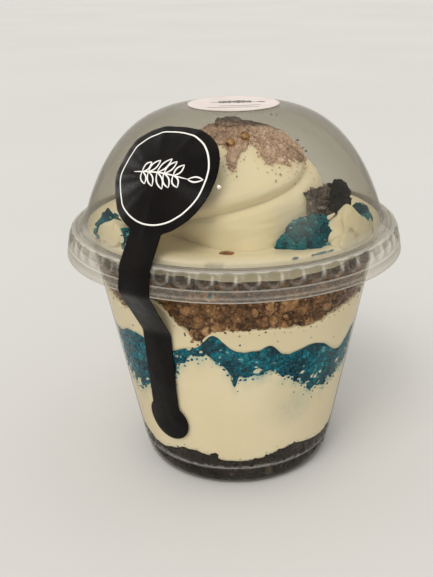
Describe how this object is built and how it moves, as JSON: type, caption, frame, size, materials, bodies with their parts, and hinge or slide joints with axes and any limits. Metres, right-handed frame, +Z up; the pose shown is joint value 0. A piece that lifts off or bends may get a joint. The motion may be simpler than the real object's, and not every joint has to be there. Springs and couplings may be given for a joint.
{
  "type": "layered cheesecake cup",
  "caption": "Clear tapered dessert cup with a dome lid, filled with layers of cheesecake cream and crumbs under a soft cream swirl, closed with a paper seal.",
  "frame": {"origin": "centre of the circle that the cup's foot stands on", "axes": "+Z up along the cup's axis, -Y towards the front, which the paper seal lies to the left of"},
  "size_m": [0.099, 0.099, 0.1095],
  "materials": {
    "clear_cup": "clear thin moulded plastic",
    "clear_lid": "clear thin formed plastic, lightly misted inside",
    "dark_crumb": "damp dark biscuit crumb",
    "cream_filling": "smooth cheesecake cream",
    "soft_cream": "satin piped cream",
    "blue_cake_crumb": "moist blue cake crumb",
    "biscuit_crumb": "coarse brown biscuit crumb",
    "crumb_dust": "fine dry biscuit dust with bronze sugar pearls",
    "dark_cookie": "rough broken dark cookie",
    "grey_biscuit": "rough broken biscuit under mist",
    "pale_paper": "smooth pale label paper",
    "black_paper": "satin black label paper"
  },
  "bodies": {
    "root": {"cup": "clear_cup", "lid": "clear_lid", "dark_base": "dark_crumb", "cream_lower": "cream_filling", "blue_crumb": "blue_cake_crumb", "cream_upper": "cream_filling", "biscuit_crumb": "biscuit_crumb", "cream_top": "cream_filling", "cream_swirl": "soft_cream", "crumb_cap": "crumb_dust", "petal_right": "soft_cream", "petal_small": "soft_cream", "petal_left": "soft_cream", "petal_back": "soft_cream", "cookie_chunk": "dark_cookie", "biscuit_chunk": "grey_biscuit", "blue_heap_right": "blue_cake_crumb", "blue_heap_side": "blue_cake_crumb", "blue_heap_left": "blue_cake_crumb", "blue_heap_front_left": "blue_cake_crumb", "blue_heap_back": "blue_cake_crumb", "top_label": "pale_paper", "seal_label": "black_paper"}
  },
  "joints": []
}
